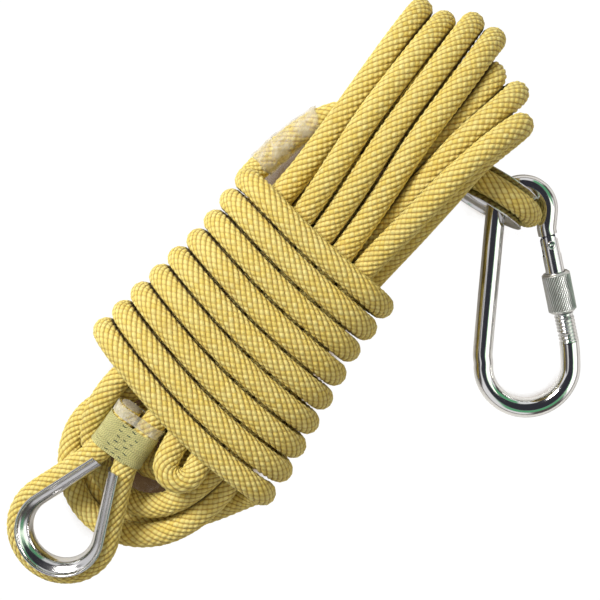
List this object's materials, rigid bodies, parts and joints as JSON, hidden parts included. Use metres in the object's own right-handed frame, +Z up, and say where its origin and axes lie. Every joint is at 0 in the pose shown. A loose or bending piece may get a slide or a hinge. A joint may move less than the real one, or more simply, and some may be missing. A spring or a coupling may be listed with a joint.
{
  "type": "climbing rope",
  "caption": "Coiled kernmantle climbing rope wrapped with its own tail, with a thimble eye at each end and a screw-lock snap hook on one of them",
  "frame": {"origin": "centre of the underside of the part's own box, on the ground the coil lies on", "axes": "+X along the coil to the end with the long finger loops, +Y across it away from the snap hook, +Z up"},
  "size_m": [0.3388, 0.203, 0.0769],
  "materials": {
    "rope_yarn": "matt, coarse braided yellow yarn",
    "core_yarn": "matt, laid white yarn",
    "clear_sleeve": "soft, cloudy shrunk-on film",
    "thimble_steel": "polished",
    "whipping_thread": "waxed thread",
    "lock_thread": "waxed dark thread",
    "hook_steel": "bright plated",
    "spring_steel": "bright drawn",
    "sleeve_steel": "satin plated, knurled"
  },
  "bodies": {
    "coil": {"rope_sheath": "rope_yarn", "rope_core": "core_yarn", "tail_sleeve": "clear_sleeve"},
    "free_eye": {"free_eye_sheath": "rope_yarn", "free_eye_core": "core_yarn", "free_eye_thimble": "thimble_steel", "free_eye_whipping": "whipping_thread", "free_eye_lock_stitch": "lock_thread", "free_eye_splice_sleeve": "clear_sleeve"},
    "hook_eye": {"hook_eye_sheath": "rope_yarn", "hook_eye_core": "core_yarn", "hook_eye_thimble": "thimble_steel", "hook_eye_whipping": "whipping_thread", "hook_eye_lock_stitch": "lock_thread", "hook_eye_splice_sleeve": "clear_sleeve"},
    "snap_hook": {"hook_body": "hook_steel", "gate_rivet": "hook_steel"},
    "gate": {"gate_body": "hook_steel", "gate_spring": "spring_steel"},
    "plunger": {"gate_plunger": "spring_steel"},
    "sleeve": {"locking_sleeve": "sleeve_steel"}
  },
  "joints": [
    {"name": "free_eye_lift", "type": "hinge", "parent": "coil", "child": "free_eye", "pos_m": [-0.0746, 0.05781, 0.0422], "axis": [-0.0365, 0.9993, 0], "range_deg": [0, 55]},
    {"name": "hook_eye_swing", "type": "hinge", "parent": "coil", "child": "hook_eye", "pos_m": [0.0992, 0.05741, 0.0278], "axis": [0, 0, 1], "range_deg": [-4, 2.5]},
    {"name": "hook_lift", "type": "hinge", "parent": "hook_eye", "child": "snap_hook", "pos_m": [0.1065, -0.00869, 0.0278], "axis": [-0.994, -0.1097, 0], "range_deg": [0, 60]},
    {"name": "gate_open", "type": "hinge", "parent": "snap_hook", "child": "gate", "pos_m": [0.10518, -0.04739, 0.01875], "axis": [0.1355, 0.1035, -0.9854], "range_deg": [0, 28], "deforming": ["gate_spring"]},
    {"name": "plunger_slide", "type": "slide", "parent": "gate", "child": "plunger", "axis": [-0.6289, -0.7595, -0.1662], "range_m": [0, 0.0012]},
    {"name": "sleeve_travel", "type": "slide", "parent": "gate", "child": "sleeve", "axis": [-0.6289, -0.7595, -0.1662], "range_m": [0, 0.013]}
  ],
  "couplings": [
    {"joint": "plunger_slide", "follows": "gate_open", "m_per_rad": 0.0024555}
  ]
}
